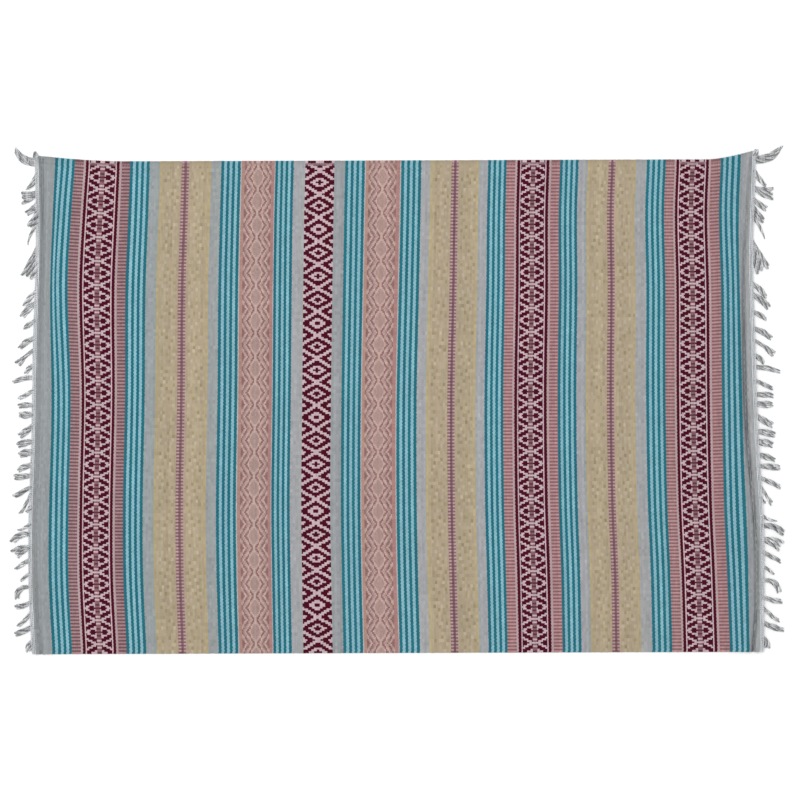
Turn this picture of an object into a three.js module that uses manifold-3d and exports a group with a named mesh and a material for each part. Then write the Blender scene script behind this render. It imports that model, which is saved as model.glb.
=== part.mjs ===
// A flat-woven kilim rug with knotted fringes at both ends, lying flat.
// Millimetres, +Z up. The long side runs along X, the underside lies on Z = 0,
// and the origin is under the middle of the rug with its fringes.

import * as THREE from "three";
import { mergeVertices } from "three/addons/utils/BufferGeometryUtils.js";
import Module from "manifold-3d";

// Cloth sizes
const CLOTH_THICKNESS = 4;
const STEPS_LONG = 30;
const STEPS_WIDE = 18;

// Side edges: the top edge climbs at both corners, the bottom edge is nearly straight
const TOP_EDGE_LEFT = 586;
const TOP_EDGE_RIGHT = 592;
const LEFT_CORNER_RISE = 15;
const LEFT_CORNER_RUN = 210;
const RIGHT_CORNER_RISE = 24;
const RIGHT_CORNER_RUN = 120;
const CORNER_CURVE = 1.5;
const BOTTOM_EDGE_LEFT = -633;
const BOTTOM_EDGE_RIGHT = -627;

// The middle of the rug with its fringes, in the same sizes as the edges and tassels below
const MIDDLE_X = -4.73;
const MIDDLE_Y = -2.42;

// Where the two ends wander, from the top of the rug to its bottom
const END_WAVE = [
  { y: 620, left: -904, right: 888 },
  { y: 490, left: -901, right: 882 },
  { y: 330, left: -901, right: 877 },
  { y: 120, left: -908, right: 882 },
  { y: -105, left: -912, right: 890 },
  { y: -330, left: -919, right: 904 },
  { y: -500, left: -917, right: 905 },
  { y: -640, left: -909, right: 903 },
];

// Corded strip across each end, parted from the cloth by a hair
const STRIP_WIDTH = 10.5;
const STRIP_HEIGHT = 5;
const STRIP_TOP_SHARE = 0.55;
const PIECE_GAP = 0.3;

// Tassel yarns
const YARN_STEPS = 3;
const YARN_FILL = 0.8;
const YARN_TUCK = 0.06;
const YARN_HEIGHT_ROOT = 4;
const YARN_HEIGHT_TIP = 2.4;
const ROOT_INSET = 5;
const BELLY_AT = 0.55;
const RAGGED_LENGTHS = [1, 0.92, 0.97, 0.88];
const KNOT_AT = 0.28;
const KNOT_STARTS = 0.25;
const KNOT_STEPS = 2;
const KNOT_HEIGHT = 6.5;
const KNOT_SWELL = 1.25;

// The right-hand tassels are a little longer and sit a little nearer the top
const RIGHT_REACH = 1.28;
const RIGHT_LIFT_ENDS = 6;
const RIGHT_LIFT_MIDDLE = 20;
const FRINGE_MIDDLE_Y = -25;
const FRINGE_HALF_LENGTH = 620;

// One row a tassel, from the top corner down: where its root sits along the end, how far its
// tip lies out and down from there, how far it bows sideways, its widths and its yarns
const TASSELS = [
  { y: 594, reach: 0, drop: -16, bow: 0, neck: 7, belly: 6, tip: 2, yarns: 2 },
  { y: 586, reach: 49, drop: -36, bow: 12, neck: 13, belly: 11, tip: 4, yarns: 3 },
  { y: 557, reach: 21, drop: 41, bow: 3, neck: 7, belly: 10, tip: 5, yarns: 2 },
  { y: 513, reach: 34, drop: 16, bow: 4, neck: 7, belly: 21, tip: 28, yarns: 5 },
  { y: 484, reach: 23, drop: 27, bow: 2, neck: 7, belly: 12, tip: 11, yarns: 3 },
  { y: 462, reach: 18, drop: 36, bow: 3, neck: 9, belly: 15, tip: 11, yarns: 2 },
  { y: 436, reach: 20, drop: 56, bow: -4, neck: 5, belly: 5, tip: 2, yarns: 1 },
  { y: 377, reach: 20, drop: 78, bow: 2, neck: 7, belly: 25, tip: 33, yarns: 6 },
  { y: 266, reach: 26, drop: 38, bow: -3, neck: 7, belly: 11, tip: 8, yarns: 2 },
  { y: 238, reach: 31, drop: 37, bow: -3, neck: 8, belly: 14, tip: 11, yarns: 3 },
  { y: 193, reach: 25, drop: 22, bow: -2, neck: 6, belly: 10, tip: 7, yarns: 2 },
  { y: 150, reach: 34, drop: 27, bow: -4, neck: 7, belly: 13, tip: 8, yarns: 3 },
  { y: 122, reach: 38, drop: 38, bow: -2, neck: 6, belly: 8, tip: 15, yarns: 3 },
  { y: 86, reach: 18, drop: 25, bow: -2, neck: 6, belly: 10, tip: 7, yarns: 2 },
  { y: 52, reach: 49, drop: 12, bow: -3, neck: 8, belly: 11, tip: 7, yarns: 3 },
  { y: 21, reach: 34, drop: 23, bow: 0, neck: 6, belly: 9, tip: 7, yarns: 2 },
  { y: -17, reach: 34, drop: 3, bow: -2, neck: 7, belly: 12, tip: 9, yarns: 3 },
  { y: -38, reach: 32, drop: 2, bow: 2, neck: 8, belly: 15, tip: 11, yarns: 3 },
  { y: -64, reach: 31, drop: 29, bow: 2, neck: 6, belly: 14, tip: 12, yarns: 3 },
  { y: -107, reach: 34, drop: 10, bow: -2, neck: 8, belly: 14, tip: 12, yarns: 3 },
  { y: -133, reach: 29, drop: 8, bow: -2, neck: 10, belly: 16, tip: 12, yarns: 3 },
  { y: -164, reach: 32, drop: 15, bow: -2, neck: 8, belly: 13, tip: 8, yarns: 3 },
  { y: -191, reach: 40, drop: 5, bow: 0, neck: 7, belly: 13, tip: 12, yarns: 3 },
  { y: -218, reach: 40, drop: 26, bow: 0, neck: 6, belly: 10, tip: 9, yarns: 2 },
  { y: -234, reach: 22, drop: 53, bow: 0, neck: 5, belly: 6, tip: 8, yarns: 2 },
  { y: -268, reach: 8, drop: 14, bow: 2, neck: 9, belly: 8, tip: 4, yarns: 2 },
  { y: -310, reach: 27, drop: 16, bow: 3, neck: 8, belly: 5, tip: 3, yarns: 1 },
  { y: -337, reach: 40, drop: 20, bow: -8, neck: 8, belly: 13, tip: 17, yarns: 2 },
  { y: -370, reach: 34, drop: 17, bow: -4, neck: 8, belly: 20, tip: 30, yarns: 3 },
  { y: -398, reach: 33, drop: 26, bow: 0, neck: 7, belly: 9, tip: 7, yarns: 2 },
  { y: -434, reach: 18, drop: 20, bow: -3, neck: 6, belly: 6, tip: 4, yarns: 1 },
  { y: -467, reach: 29, drop: 31, bow: -13, neck: 6, belly: 12, tip: 11, yarns: 3 },
  { y: -505, reach: 35, drop: 13, bow: 2, neck: 7, belly: 10, tip: 10, yarns: 2 },
  { y: -528, reach: 30, drop: 38, bow: 2, neck: 6, belly: 8, tip: 7, yarns: 2 },
  { y: -565, reach: 39, drop: 20, bow: 2, neck: 8, belly: 12, tip: 10, yarns: 3 },
  { y: -601, reach: 6, drop: 27, bow: -5, neck: 9, belly: 14, tip: 11, yarns: 3 },
];

const wasm = await Module();
wasm.setup();

// A smooth curve through the rows of a table sorted downwards in y
function alongEnd(column, y) {
  const last = END_WAVE.length - 2;
  let row = 0;
  while (row < last && y < END_WAVE[row + 1].y) row += 1;
  const here = END_WAVE[row];
  const next = END_WAVE[row + 1];
  const before = END_WAVE[Math.max(row - 1, 0)];
  const after = END_WAVE[Math.min(row + 2, last + 1)];
  const run = next.y - here.y;
  const slopeHere = (next[column] - before[column]) / (next.y - before.y);
  const slopeNext = (after[column] - here[column]) / (after.y - here.y);
  const t = THREE.MathUtils.clamp((y - here.y) / run, 0, 1);
  const ease = t * t * (3 - 2 * t);
  const leave = run * slopeHere * t * (1 - t) * (1 - t);
  const arrive = run * slopeNext * t * t * (1 - t);
  return THREE.MathUtils.lerp(here[column], next[column], ease) + leave - arrive;
}

// How far a corner lifts the top edge at a distance from its end
function cornerRise(distance, rise, run) {
  const left = THREE.MathUtils.clamp(1 - distance / run, 0, 1);
  return rise * left ** CORNER_CURVE;
}

function topEdge(x) {
  const leftEnd = END_WAVE[0].left;
  const rightEnd = END_WAVE[0].right;
  const share = (x - leftEnd) / (rightEnd - leftEnd);
  const level = THREE.MathUtils.lerp(TOP_EDGE_LEFT, TOP_EDGE_RIGHT, share);
  const leftRise = cornerRise(x - leftEnd, LEFT_CORNER_RISE, LEFT_CORNER_RUN);
  const rightRise = cornerRise(rightEnd - x, RIGHT_CORNER_RISE, RIGHT_CORNER_RUN);
  return level + leftRise + rightRise;
}

function bottomEdge(x) {
  const leftEnd = END_WAVE[0].left;
  const rightEnd = END_WAVE[0].right;
  const share = (x - leftEnd) / (rightEnd - leftEnd);
  return THREE.MathUtils.lerp(BOTTOM_EDGE_LEFT, BOTTOM_EDGE_RIGHT, share);
}

// Moves every point of a unit box to the place that a function gives it
function reshape(box, place) {
  const points = box.attributes.position;
  for (let i = 0; i < points.count; i += 1) {
    const target = place(points.getX(i) + 0.5, points.getY(i) + 0.5, points.getZ(i) + 0.5);
    points.setXYZ(i, target.x, target.y, target.z);
  }
  return box;
}

function toSolid(geometry) {
  const bare = geometry.clone();
  bare.deleteAttribute("normal");
  bare.deleteAttribute("uv");
  const merged = mergeVertices(bare);
  const vertProperties = new Float32Array(merged.attributes.position.array);
  const triVerts = new Uint32Array(merged.index.array);
  return new wasm.Manifold(new wasm.Mesh({ numProp: 3, vertProperties, triVerts }));
}

function toGeometry(solid) {
  const mesh = solid.getMesh();
  const geometry = new THREE.BufferGeometry();
  geometry.setAttribute("position", new THREE.BufferAttribute(mesh.vertProperties, 3));
  geometry.setIndex(new THREE.BufferAttribute(mesh.triVerts, 1));
  geometry.computeVertexNormals();
  return geometry;
}

// A point of the cloth from shares of its length and width
function clothPoint(along, across) {
  const inset = STRIP_WIDTH + PIECE_GAP;
  const level = THREE.MathUtils.lerp(BOTTOM_EDGE_LEFT, TOP_EDGE_LEFT, across);
  const left = alongEnd("left", level) + inset;
  const right = alongEnd("right", level) - inset;
  const x = THREE.MathUtils.lerp(left, right, along);
  const y = THREE.MathUtils.lerp(bottomEdge(x), topEdge(x), across);
  return new THREE.Vector2(x, y);
}

// The cloth fills the room between the two strips, its side edges as uneven as the ends
function clothGeometry() {
  const outline = [];
  for (let i = 0; i < STEPS_LONG; i += 1) outline.push(clothPoint(i / STEPS_LONG, 0));
  for (let i = 0; i < STEPS_WIDE; i += 1) outline.push(clothPoint(1, i / STEPS_WIDE));
  for (let i = 0; i < STEPS_LONG; i += 1) outline.push(clothPoint(1 - i / STEPS_LONG, 1));
  for (let i = 0; i < STEPS_WIDE; i += 1) outline.push(clothPoint(0, 1 - i / STEPS_WIDE));
  const shape = new THREE.Shape(outline);
  return new THREE.ExtrudeGeometry(shape, { depth: CLOTH_THICKNESS, bevelEnabled: false });
}

// The strip follows the end of the cloth, flat below and narrower on top
function stripGeometry(column, outward) {
  const box = new THREE.BoxGeometry(1, 1, 1, 1, STEPS_WIDE, 1);
  return reshape(box, (along, across, up) => {
    const level = THREE.MathUtils.lerp(BOTTOM_EDGE_LEFT, TOP_EDGE_LEFT, across);
    const middle = alongEnd(column, level) - outward * STRIP_WIDTH / 2;
    const narrowing = up > 0.5 ? STRIP_TOP_SHARE : 1;
    const x = middle + (along - 0.5) * STRIP_WIDTH * narrowing;
    const y = THREE.MathUtils.lerp(bottomEdge(x), topEdge(x), across);
    return new THREE.Vector3(x, y, up * STRIP_HEIGHT);
  });
}

// A tassel's width from its neck over its belly to its tip
function tasselWidth(tassel, t) {
  if (t < BELLY_AT) return THREE.MathUtils.lerp(tassel.neck, tassel.belly, t / BELLY_AT);
  return THREE.MathUtils.lerp(tassel.belly, tassel.tip, (t - BELLY_AT) / (1 - BELLY_AT));
}

// The middle line of a tassel, from inside the strip to its tip
function tasselPath(tassel, column, outward) {
  const onRight = outward > 0;
  const offset = (tassel.y - FRINGE_MIDDLE_Y) / FRINGE_HALF_LENGTH;
  const lift = onRight ? RIGHT_LIFT_ENDS + RIGHT_LIFT_MIDDLE * (1 - offset * offset) : 0;
  const reach = tassel.reach * (onRight ? RIGHT_REACH : 1);
  const rootY = tassel.y + lift;
  const edge = alongEnd(column, rootY);
  const root = new THREE.Vector3(edge - outward * ROOT_INSET, rootY, 0);
  const tip = new THREE.Vector3(edge + outward * reach, rootY - tassel.drop, 0);
  const across = new THREE.Vector3(-outward * tassel.drop, -reach, 0).normalize();
  const bend = root.clone().lerp(tip, 0.5).addScaledVector(across, tassel.bow * 2);
  return new THREE.QuadraticBezierCurve3(root, bend, tip);
}

// A four-sided bar along a tassel's path, lying level on its flat underside
function barGeometry(path, steps, shapeAt) {
  const box = new THREE.BoxGeometry(1, 1, 1, steps, 1, 1);
  return reshape(box, (along, across, up) => {
    const bar = shapeAt(along);
    const centre = path.getPoint(bar.t);
    const heading = path.getTangent(bar.t);
    const side = bar.side + (across - 0.5) * bar.width;
    return new THREE.Vector3(centre.x - heading.y * side, centre.y + heading.x * side, up * bar.height);
  });
}

// The neck that leaves the strip and swells into the knot that gathers the yarns
function knotGeometry(tassel, path) {
  return barGeometry(path, KNOT_STEPS, (along) => {
    const knotted = along > KNOT_STARTS;
    const width = tasselWidth(tassel, along * KNOT_AT) * (knotted ? KNOT_SWELL : 1);
    const height = knotted ? KNOT_HEIGHT : YARN_HEIGHT_ROOT;
    return { t: along * KNOT_AT, side: 0, width, height };
  });
}

// One loose yarn, from inside the knot to its own ragged end
function yarnGeometry(tassel, path, number) {
  const end = RAGGED_LENGTHS[number % RAGGED_LENGTHS.length];
  const start = KNOT_AT - YARN_TUCK;
  const share = (number + 0.5) / tassel.yarns - 0.5;
  return barGeometry(path, YARN_STEPS, (along) => {
    const t = THREE.MathUtils.lerp(start, end, along);
    const room = tasselWidth(tassel, t);
    const height = THREE.MathUtils.lerp(YARN_HEIGHT_ROOT, YARN_HEIGHT_TIP, along);
    return { t, side: share * room, width: room * YARN_FILL / tassel.yarns, height };
  });
}

function fringeGeometry(column, outward) {
  let fringe = toSolid(stripGeometry(column, outward));
  for (const tassel of TASSELS) {
    const path = tasselPath(tassel, column, outward);
    fringe = fringe.add(toSolid(knotGeometry(tassel, path)));
    for (let number = 0; number < tassel.yarns; number += 1) {
      fringe = fringe.add(toSolid(yarnGeometry(tassel, path, number)));
    }
  }
  return toGeometry(fringe);
}

const clothFinish = new THREE.MeshStandardMaterial({ color: 0xa5938c, roughness: 0.95, metalness: 0 });
const leftFringeFinish = new THREE.MeshStandardMaterial({ color: 0xb2b6b8, roughness: 0.95, metalness: 0 });
const rightFringeFinish = leftFringeFinish.clone();

const cloth = new THREE.Mesh(clothGeometry(), clothFinish);
cloth.name = "rug_cloth";

const leftFringe = new THREE.Mesh(fringeGeometry("left", -1), leftFringeFinish);
leftFringe.name = "fringe_left";

const rightFringe = new THREE.Mesh(fringeGeometry("right", 1), rightFringeFinish);
rightFringe.name = "fringe_right";

const rug = new THREE.Group();
rug.add(cloth, leftFringe, rightFringe);
rug.position.set(-MIDDLE_X, -MIDDLE_Y, 0);

export default rug;
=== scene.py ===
import math

import bpy
import numpy as np
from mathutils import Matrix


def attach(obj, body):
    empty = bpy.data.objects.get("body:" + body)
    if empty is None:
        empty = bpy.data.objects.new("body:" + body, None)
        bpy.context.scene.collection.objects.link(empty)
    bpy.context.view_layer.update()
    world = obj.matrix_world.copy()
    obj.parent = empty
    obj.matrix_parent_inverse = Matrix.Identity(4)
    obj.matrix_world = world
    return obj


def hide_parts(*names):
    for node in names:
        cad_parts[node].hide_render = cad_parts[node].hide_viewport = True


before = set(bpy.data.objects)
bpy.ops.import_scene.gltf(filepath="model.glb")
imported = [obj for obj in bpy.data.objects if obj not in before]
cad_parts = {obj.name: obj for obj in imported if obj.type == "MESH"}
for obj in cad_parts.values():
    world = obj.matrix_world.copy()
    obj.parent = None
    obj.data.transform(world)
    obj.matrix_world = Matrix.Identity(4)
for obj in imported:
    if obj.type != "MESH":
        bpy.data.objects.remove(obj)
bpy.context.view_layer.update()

# A flat-woven kilim rug seen from straight above.
# Sizes are in millimetres from the rug's own drawing and become metres where meshes are made.
MM = 0.001
MIDDLE_X = -4.73
MIDDLE_Y = -2.42
SEED = 41

# Outline of the cloth, as in the solids
TOP_EDGE_LEFT = 586
TOP_EDGE_RIGHT = 592
LEFT_CORNER_RISE = 15
LEFT_CORNER_RUN = 210
RIGHT_CORNER_RISE = 24
RIGHT_CORNER_RUN = 120
CORNER_CURVE = 1.5
BOTTOM_EDGE_LEFT = -633
BOTTOM_EDGE_RIGHT = -627
STRIP_WIDTH = 10.5
PIECE_GAP = 0.3

# Height up the rug, then where its left and right ends lie there
END_WAVE = (
    (620, -904, 888),
    (490, -901, 882),
    (330, -901, 877),
    (120, -908, 882),
    (-105, -912, 890),
    (-330, -919, 904),
    (-500, -917, 905),
    (-640, -909, 903),
)

# Height up the rug, then how far the stripes sway sideways there, at six places along it
SWAY_PLACES = (-840, -660, -290, 20, 525, 825)
STRIPE_SWAY = (
    (570, 10, 13, 7, 12, 4, -4),
    (450, 0, 9, 4, 10, 0, -8),
    (270, -9, 2, 2, 6, 2, -3),
    (0, 0, 0, 0, 0, 0, 0),
    (-260, -5, -5, -3, 0, 4, 5),
    (-440, -6, -4, -1, 3, 11, 13),
    (-620, 3, 4, 2, 8, 14, 20),
)

# Weave: picks lie in pairs, and each warp is crossed by one float of every pair.
# Figured bands show every pick on every warp, and plain ones have floats over two warps.
WARPS = 288
WARP_PITCH = (TOP_EDGE_LEFT - BOTTOM_EDGE_LEFT) / WARPS
REPEAT_WARPS = 14
SHEET_THICKNESS = 2.6
SHEET_ROWS = 76
SHEET_FINE_END = 0.04
FLOAT_SINK = 0.02
FLOAT_RISE = 0.75
LONG_FLOAT_RISE = 0.3
FLOAT_RIDGE = 0.2
FLOAT_LENGTH_WARPS = 1.4
FLOAT_WIDTH_PICKS = 2.5
FINE_WIDTH_PICKS = 1.35
FINE_BANDS = ("lozenge", "lattice", "diamond")
LONG_BANDS = ("grey", "silver", "pale", "sand left", "sand right")
PAIR_GATHER = 0.7
SLOPE_REACH = 1.0
FLOAT_UNEVENNESS = 0.06

# Bands of weft from the left end to the right end: what is woven, its width and its picks
BANDS = (
    ("grey", 38.6, 20),
    ("teal", 47.0, 14),
    ("rose", 21.5, 8),
    ("edging", 5.5, 2),
    ("maroon", 6.9, 2),
    ("lattice", 68.2, 24),
    ("maroon", 6.9, 2),
    ("edging", 5.0, 2),
    ("rose", 20.8, 6),
    ("teal", 47.8, 14),
    ("grey", 26.9, 8),
    ("sand left", 54.7, 18),
    ("ladder", 18.4, 6),
    ("sand right", 55.4, 18),
    ("grey", 25.8, 8),
    ("teal", 48.1, 14),
    ("pale", 3.5, 2),
    ("terracotta", 7.4, 2),
    ("lozenge", 67.2, 22),
    ("rosewood", 7.4, 2),
    ("pale", 2.5, 2),
    ("teal", 44.4, 14),
    ("silver", 29.0, 8),
    ("diamond", 70.6, 22),
    ("grey", 26.8, 8),
    ("teal", 47.1, 14),
    ("pale", 3.2, 2),
    ("terracotta", 6.7, 2),
    ("lozenge", 67.6, 22),
    ("rosewood", 8.4, 2),
    ("pale", 3.5, 2),
    ("teal", 48.6, 14),
    ("silver", 23.6, 8),
    ("sand left", 53.6, 18),
    ("ladder", 17.4, 6),
    ("sand right", 50.8, 16),
    ("silver", 23.6, 8),
    ("teal", 46.1, 14),
    ("faded rose", 21.8, 6),
    ("edging", 5.2, 2),
    ("maroon", 7.2, 2),
    ("lattice", 65.8, 24),
    ("maroon", 7.4, 2),
    ("edging", 5.0, 2),
    ("faded rose", 22.2, 6),
    ("teal", 45.6, 14),
    ("silver", 24.2, 8),
    ("sand left", 52.5, 18),
    ("ladder", 17.1, 6),
    ("sand right", 52.2, 18),
    ("silver", 27.8, 8),
    ("teal", 47.6, 14),
    ("faded rose", 22.3, 8),
    ("edging", 5.0, 2),
    ("maroon", 6.9, 2),
    ("lattice", 68.2, 24),
    ("maroon", 7.2, 2),
    ("edging", 5.0, 2),
    ("faded rose", 25.2, 8),
    ("teal", 47.8, 14),
    ("grey", 13.2, 8),
    ("silver", 13.2, 8),
)

# Which weft piece each band belongs to
WEFT_PIECES = {
    "grey_weft": ("grey", "silver", "pale"),
    "teal_weft": ("teal",),
    "sand_weft": ("sand left", "sand right"),
    "rose_weft": ("rose", "faded rose", "ladder", "terracotta", "rosewood", "lozenge"),
    "diamond_weft": ("edging", "maroon", "diamond"),
    "lattice_weft": ("lattice",),
}

# Dyes as they look in even light, red green blue out of 255
DYES = {
    "grey": (155, 160, 162),
    "silver": (167, 169, 171),
    "deep teal": (34, 112, 127),
    "pale blue": (139, 184, 197),
    "maroon": (76, 3, 31),
    "light": (203, 179, 185),
    "edging": (184, 162, 164),
    "rose": (174, 136, 140),
    "dusk": (114, 86, 91),
    "faded rose": (187, 144, 147),
    "faded dusk": (138, 101, 105),
    "terracotta": (176, 139, 127),
    "rosewood": (174, 132, 127),
    "salmon": (176, 147, 141),
    "peach": (196, 169, 161),
    "clay": (150, 111, 108),
    "sand": (178, 163, 137),
    "straw": (182, 166, 129),
    "pale sand": (187, 173, 151),
    "olive": (164, 149, 115),
    "pink": (186, 156, 156),
    "mauve": (136, 98, 107),
    "wine": (96, 50, 60),
    "pale grey": (184, 182, 186),
}
DYE_NAMES = tuple(DYES)
PICK_VARIATION = 0.035
FLOAT_VARIATION = 0.05
TINT_VARIATION = 0.012

# Figures repeat up the bands in step. Sizes run out from a figure's middle and up from its eye.
FIGURE_START = 12
FIGURE_WIDTH = 68
HALF_REPEAT = REPEAT_WARPS / 2 * WARP_PITCH
LATTICE_LADDER = 7
LATTICE_OUTSIDE = 30.5
LATTICE_BAR_OUTER = (31, 8.6)
LATTICE_BAR_INNER = (7, 20)
LATTICE_BAR_HALF = 5.9
LATTICE_EYE_OUT = 13.5
LATTICE_EYE_WIDE = 9.8
LATTICE_EYE_TALL = 8.8
LATTICE_SIDE_TIP = 14
LATTICE_SIDE_BASE = 31
LATTICE_SIDE_TALL = 10
DIAMOND_START = 0
DIAMOND_REPEAT_WARPS = 13.75
DIAMOND_SLANT = 0.62
DIAMOND_RINGS = (6.5, 13.6, 24.6, 32.6, 43.6)

# Tone-on-tone lozenges: a zigzag line, and the tones on its inner and outer sides
LOZENGE_ZIGZAG_EYE = 25.5
LOZENGE_ZIGZAG_WAIST = 8.7
LOZENGE_STEPS = (-12, -6.8, -2, 2, 6.5, 10.5, 15.5, 17.5)
LOZENGE_TONES = ("salmon", "peach", "clay", "peach", "salmon", "clay", "peach", "salmon", "clay")

# Flecks in the sand bands, in columns of picks counted away from the ladder
FLECK_FIRST = 1
FLECK_LAST = 6
FLECK_SHARE = 0.6
FLECK_CYCLE = 5
FLECK_STEP = 3

# Creases inside the two ends: height up the rug, distance in from the end, depth
RIGHT_CREASE = (
    (620, 15, 2.5),
    (245, 24, 5.0),
    (0, 28.5, 7.0),
    (-250, 23, 6.5),
    (-500, 20, 6.0),
    (-640, 27, 6.5),
)
LEFT_CREASE = (
    (620, 18, 4.4),
    (300, 17, 3.0),
    (0, 18, 1.6),
    (-400, 18, 2.0),
    (-640, 22, 4.0),
)
CREASE_HALF_WIDTH = 4.5
CREASE_SHARPNESS = 1.25
# Painted shade: dyes darkened along the bottom of the end creases, and along the selvedge crease most near
# the left corner, in place of shadow
CREASE_SHADE = 0.1
CREASE_SHADE_HALF_WIDTH = 4.8
CREASE_FADE = 38
SELVEDGE_CREASE_IN = 8
SELVEDGE_CREASE_DEPTH = 1.3
SELVEDGE_CREASE_FADE = 16
SELVEDGE_SHADE = 0.4
SELVEDGE_SHADE_HALF_WIDTH = 4.5
SELVEDGE_SHADE_RUN = 70

# Low swells and folds in the cloth: middle, half length, half width, heading and height
SWELLS = (
    {"x": -100, "y": -30, "long": 620, "wide": 32, "heading": 0, "height": 0.9},
    {"x": 150, "y": 76, "long": 520, "wide": 32, "heading": 1, "height": 0.7},
    {"x": -760, "y": 430, "long": 170, "wide": 46, "heading": 74, "height": 1.8},
    {"x": -640, "y": -380, "long": 210, "wide": 52, "heading": 96, "height": 1.4},
    {"x": -250, "y": 330, "long": 220, "wide": 60, "heading": 62, "height": 1.0},
    {"x": 330, "y": -360, "long": 230, "wide": 52, "heading": 82, "height": 1.5},
    {"x": 610, "y": 360, "long": 210, "wide": 56, "heading": 98, "height": 1.2},
    {"x": 720, "y": -420, "long": 190, "wide": 44, "heading": 80, "height": 1.9},
)

# Corded strip at each end
CORDS = 3
CORD_PLIES = 2
CORD_TWIST = 10
CORD_STEPS_A_TURN = 5
CORD_CENTRE_HEIGHT = 2.1
CORD_FULLNESS = 1.12

# Tassels, as in the solids but for the first two, at each upper corner, which are fuller
ROOT_INSET = 5
BELLY_AT = 0.55
RAGGED_LENGTHS = (1, 0.92, 0.97, 0.88)
KNOT_AT = 0.28
KNOT_FROM = 0.12
KNOT_SWELL = 1.25
KNOT_CENTRE_HEIGHT = 3.3
RIGHT_REACH = 1.28
RIGHT_LIFT_ENDS = 6
RIGHT_LIFT_MIDDLE = 20
FRINGE_MIDDLE_Y = -25
FRINGE_HALF_LENGTH = 620
TASSEL_COLUMNS = ("y", "reach", "drop", "bow", "neck", "belly", "tip", "yarns")
TASSELS = (
    (594, 0, -18, 0, 10, 10, 6, 2),
    (586, 49, -36, 12, 17, 17, 6, 4),
    (557, 21, 41, 3, 7, 10, 5, 2),
    (513, 34, 16, 4, 7, 21, 28, 5),
    (484, 23, 27, 2, 7, 12, 11, 3),
    (462, 18, 36, 3, 9, 15, 11, 2),
    (436, 20, 56, -4, 5, 5, 2, 1),
    (377, 20, 78, 2, 7, 25, 33, 6),
    (266, 26, 38, -3, 7, 11, 8, 2),
    (238, 31, 37, -3, 8, 14, 11, 3),
    (193, 25, 22, -2, 6, 10, 7, 2),
    (150, 34, 27, -4, 7, 13, 8, 3),
    (122, 38, 38, -2, 6, 8, 15, 3),
    (86, 18, 25, -2, 6, 10, 7, 2),
    (52, 49, 12, -3, 8, 11, 7, 3),
    (21, 34, 23, 0, 6, 9, 7, 2),
    (-17, 34, 3, -2, 7, 12, 9, 3),
    (-38, 32, 2, 2, 8, 15, 11, 3),
    (-64, 31, 29, 2, 6, 14, 12, 3),
    (-107, 34, 10, -2, 8, 14, 12, 3),
    (-133, 29, 8, -2, 10, 16, 12, 3),
    (-164, 32, 15, -2, 8, 13, 8, 3),
    (-191, 40, 5, 0, 7, 13, 12, 3),
    (-218, 40, 26, 0, 6, 10, 9, 2),
    (-234, 22, 53, 0, 5, 6, 8, 2),
    (-268, 8, 14, 2, 9, 8, 4, 2),
    (-310, 27, 16, 3, 8, 5, 3, 1),
    (-337, 40, 20, -8, 8, 13, 17, 2),
    (-370, 34, 17, -4, 8, 20, 30, 3),
    (-398, 33, 26, 0, 7, 9, 7, 2),
    (-434, 18, 20, -3, 6, 6, 4, 1),
    (-467, 29, 31, -13, 6, 12, 11, 3),
    (-505, 35, 13, 2, 7, 10, 10, 2),
    (-528, 30, 38, 2, 6, 8, 7, 2),
    (-565, 39, 20, 2, 8, 12, 10, 3),
    (-601, 6, 27, -5, 9, 14, 11, 3),
)

# Yarns of the tassels, a little fuller than the solids
YARN_SPREAD = 1.15
YARN_FILL = 1.4
YARN_RADIUS_MOST = 3.9
YARN_PLIES = 3
YARN_TWIST = 25
YARN_STEPS = 22
YARN_SIDES = 4
PLY_SPREAD = 0.5
PLY_SHARE = 0.56
TIP_FROM = 0.9
TIP_TAPER = 0.9
WANDER = 1.0
WANDER_TURNS = 1.5
KNOT_RISE = 0.8
KNOT_TURNS = 2.5
KNOT_STEPS = 26
KNOT_YARN_RADIUS = 1.35
FLOOR_CLEARANCE = 0.1
CORD_SHADE = (225, 228, 232)
TASSEL_SHADE = (194, 196, 198)
SHADE_VARIATION = 0.12
# Painted shade: the plies of one undyed yarn made lighter and darker, so the twist shows as light and
# shadow
PLY_PAINTED_SHADES = (1.35, 0.5, 1.0)

# Yarn finishes
YARN_SPECULAR = 0.08
SHEEN_ROUGHNESS = 0.6
NOISE_DETAIL = 2.0
FADE_SCALE = 7.0
STREAK_SCALE = (260, 14, 1)
FIBRE_SCALE = 1100.0
BUMP_STRENGTH = 0.5
BUMP_HEIGHT = 0.0004
WEFT_ROUGHNESS = 0.92
WEFT_SHEEN = 0.04
WEFT_FADE = 0.14
WEFT_STREAK = 0.3
WEFT_FIBRE = 0.2
WARP_ROUGHNESS = 0.9
WARP_SHEEN = 0.06
WARP_FADE = 0.2
WARP_STREAK = 0.9
WARP_FIBRE = 0.4
FLOOR_ROUGHNESS = 0.8
FLOOR_SHADE = 0.9
SHEET_MAP_SHARE = 0.49

# Camera straight above the rug, and the light
VIEW_WIDTH = 1.984
LENS = 85
SENSOR = 36
AIM_X = 0.0072
AIM_Y = -0.0015
LIGHT_ON_CLOTH = 1.29
SKY_STRENGTH = 0.76
KEY_POWER = 190
KEY_SIZE = 5.0
KEY_PLACE = (-0.9, 1.2, 5.4)
FLOOR_SIZE = 40.0


# Helpers on numbers


def lerp(start, end, share):
    return start + (end - start) * share


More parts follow.
